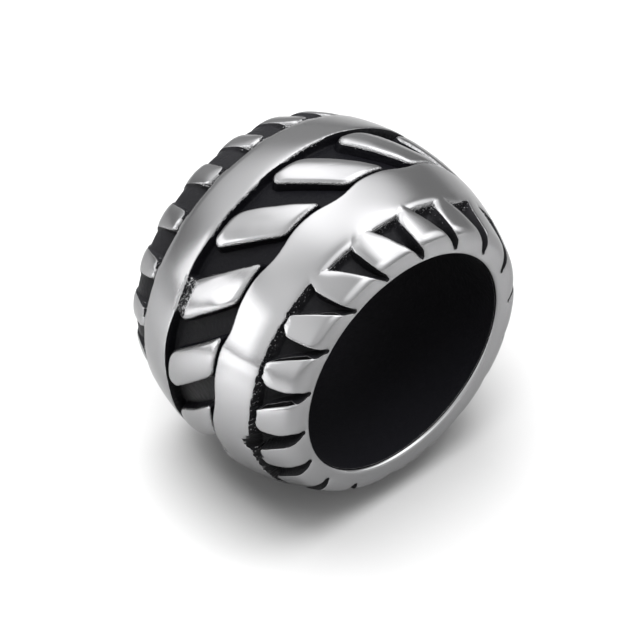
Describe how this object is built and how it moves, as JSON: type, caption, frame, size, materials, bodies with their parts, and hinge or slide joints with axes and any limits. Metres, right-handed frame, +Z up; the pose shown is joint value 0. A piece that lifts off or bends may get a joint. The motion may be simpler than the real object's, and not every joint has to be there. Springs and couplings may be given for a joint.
{
  "type": "dreadlock bead",
  "caption": "Large-hole barrel bead for a dreadlock: two smooth bands, leaning lobes in a blackened trench between them, and a toothed crown round each end.",
  "frame": {"origin": "middle of the hair hole, on its axis", "axes": "+Y along the hair hole towards the end that the picture hides, +Z up with the bead lying on its side, +X to the right seen from the shown end"},
  "size_m": [0.012, 0.0078, 0.0119],
  "materials": {
    "oxidised_steel": "polished stainless steel casting, with a matt black oxidised finish in the trench, the pockets and the hole"
  },
  "bodies": {
    "root": {"bead": "oxidised_steel"}
  },
  "joints": []
}
